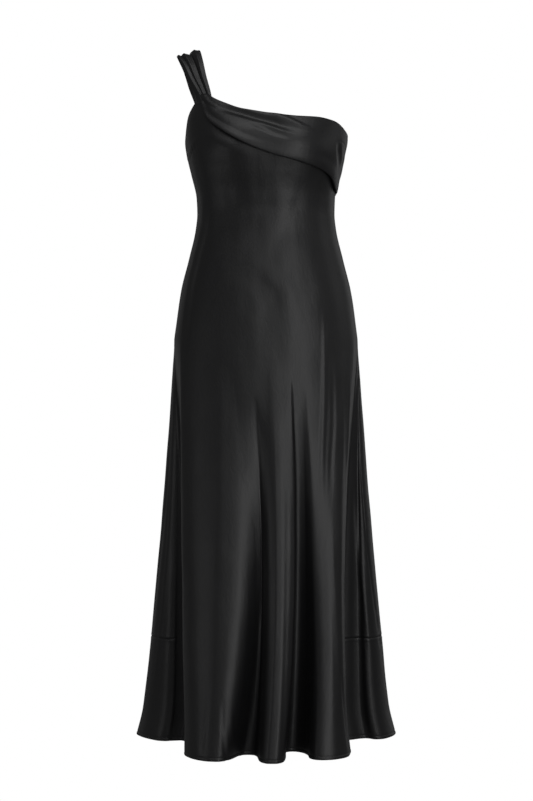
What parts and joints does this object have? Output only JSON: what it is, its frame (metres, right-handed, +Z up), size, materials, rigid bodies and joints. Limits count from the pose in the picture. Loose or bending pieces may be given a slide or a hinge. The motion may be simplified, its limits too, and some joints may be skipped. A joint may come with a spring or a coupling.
{
  "type": "one-shoulder dress",
  "caption": "Long one-shoulder dress in satin with a draped band across the bust, a pleated strap and a flared skirt that hangs in deep folds.",
  "frame": {"origin": "under the top of the shoulder strap, where the wearer's shoulder carries the dress", "axes": "+X to the wearer's left, +Y to the back of the dress, +Z up"},
  "size_m": [0.4876, 0.4649, 1.2806],
  "materials": {
    "satin": "smooth black satin with a soft sheen"
  },
  "bodies": {
    "root": {"front_panel": "satin", "back_panel": "satin", "back_hem_panel": "satin", "neck_band": "satin", "shoulder_strap": "satin"}
  },
  "joints": []
}
